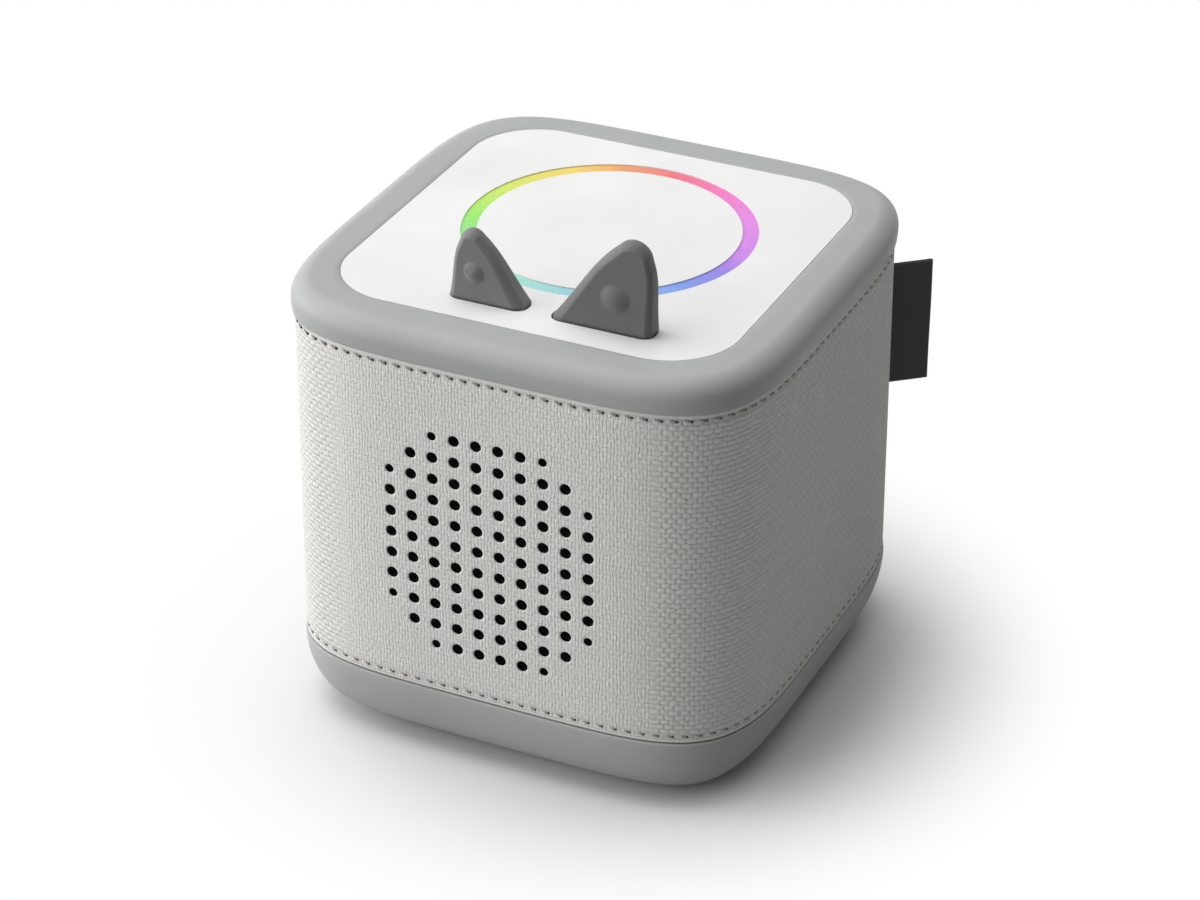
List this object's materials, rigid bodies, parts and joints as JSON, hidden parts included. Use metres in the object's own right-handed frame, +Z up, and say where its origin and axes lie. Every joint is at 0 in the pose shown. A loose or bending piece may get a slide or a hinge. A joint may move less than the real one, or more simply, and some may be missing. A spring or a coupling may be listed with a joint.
{
  "type": "audio story player",
  "caption": "Soft cube-shaped children's audio player with fabric sides, grey rim and base, white top plate with a light ring, and two ear-shaped volume buttons.",
  "frame": {"origin": "middle of the footprint, on the floor under the feet", "axes": "+Z up; -Y is the front with the sound holes and the ears; +X is to the right seen from the front; the side label is at the rear right"},
  "size_m": [0.1227, 0.121, 0.1359],
  "materials": {
    "shell_grey": "soft satin, moulded",
    "plate_white": "satin",
    "cover_fabric": "embossed weave",
    "label_cloth": "woven",
    "ear_rubber": "matte",
    "foot_rubber": "matte",
    "ring_diffuser": "translucent, lit",
    "foam": "open-cell foam",
    "black_cloth": "acoustic cloth",
    "housing_plastic": "moulded",
    "socket_grey": "moulded",
    "black_plastic": "moulded",
    "screw_steel": "zinc plated",
    "cell_sleeve": "shrink sleeve",
    "board_green": "solder mask",
    "board_white": "solder mask",
    "lamp_white": "clear resin",
    "copper": "enamelled",
    "ribbon_film": "film",
    "lead_red": "sleeve",
    "lead_black": "sleeve",
    "basket_steel": "black",
    "cone_paper": "pressed paper",
    "surround_rubber": "matte",
    "spider_cloth": "pressed cloth",
    "ferrite": "sintered",
    "plated_steel": "zinc plated",
    "magnet_nickel": "nickel plated"
  },
  "bodies": {
    "player": {"bottom_shell": "shell_grey", "rubber_feet": "foot_rubber", "base_screws": "screw_steel", "battery_tray": "black_plastic", "battery_cells": "cell_sleeve", "battery_tabs": "screw_steel", "battery_lead": "lead_red", "inner_housing": "housing_plastic", "foam_liner": "foam", "fabric_cover": "cover_fabric", "fabric_tag": "label_cloth", "acoustic_cloth": "black_cloth", "speaker_gasket": "foam", "speaker_basket": "basket_steel", "speaker_surround": "surround_rubber", "speaker_spider": "spider_cloth", "speaker_magnet": "ferrite", "speaker_front_plate": "plated_steel", "speaker_yoke": "plated_steel", "speaker_screws": "screw_steel", "speaker_lead": "lead_black", "main_board": "board_green", "board_parts": "black_plastic", "board_screws": "screw_steel", "headphone_jack": "black_plastic", "usb_socket": "screw_steel", "port_plate": "socket_grey", "top_deck": "housing_plastic", "deck_screws": "screw_steel", "rim_screws": "screw_steel", "led_board": "board_white", "led_lamps": "lamp_white", "reader_board": "board_green", "reader_coil": "copper", "figure_magnet": "magnet_nickel", "top_ribbon": "ribbon_film", "top_rim": "shell_grey", "top_plate": "plate_white", "light_ring": "ring_diffuser", "large_ear_core": "housing_plastic", "large_ear_switch": "black_plastic", "large_ear_skin": "ear_rubber", "small_ear_core": "housing_plastic", "small_ear_switch": "black_plastic", "small_ear_skin": "ear_rubber"},
    "large_button": {"large_ear_button": "ear_rubber"},
    "small_button": {"small_ear_button": "ear_rubber"},
    "cone": {"speaker_cone": "cone_paper", "speaker_dust_cap": "cone_paper", "voice_coil": "copper"}
  },
  "joints": [
    {"name": "large_ear_press", "type": "slide", "parent": "player", "child": "large_button", "axis": [0, 1, 0], "range_m": [0, 0.0003], "stiffness_N_per_m": 2000},
    {"name": "small_ear_press", "type": "slide", "parent": "player", "child": "small_button", "axis": [0, 1, 0], "range_m": [0, 0.0003], "stiffness_N_per_m": 2000},
    {"name": "cone_travel", "type": "slide", "parent": "player", "child": "cone", "axis": [0, -1, 0], "range_m": [-0.001, 0.001], "stiffness_N_per_m": 900, "deforming": ["speaker_surround", "speaker_spider"]}
  ]
}
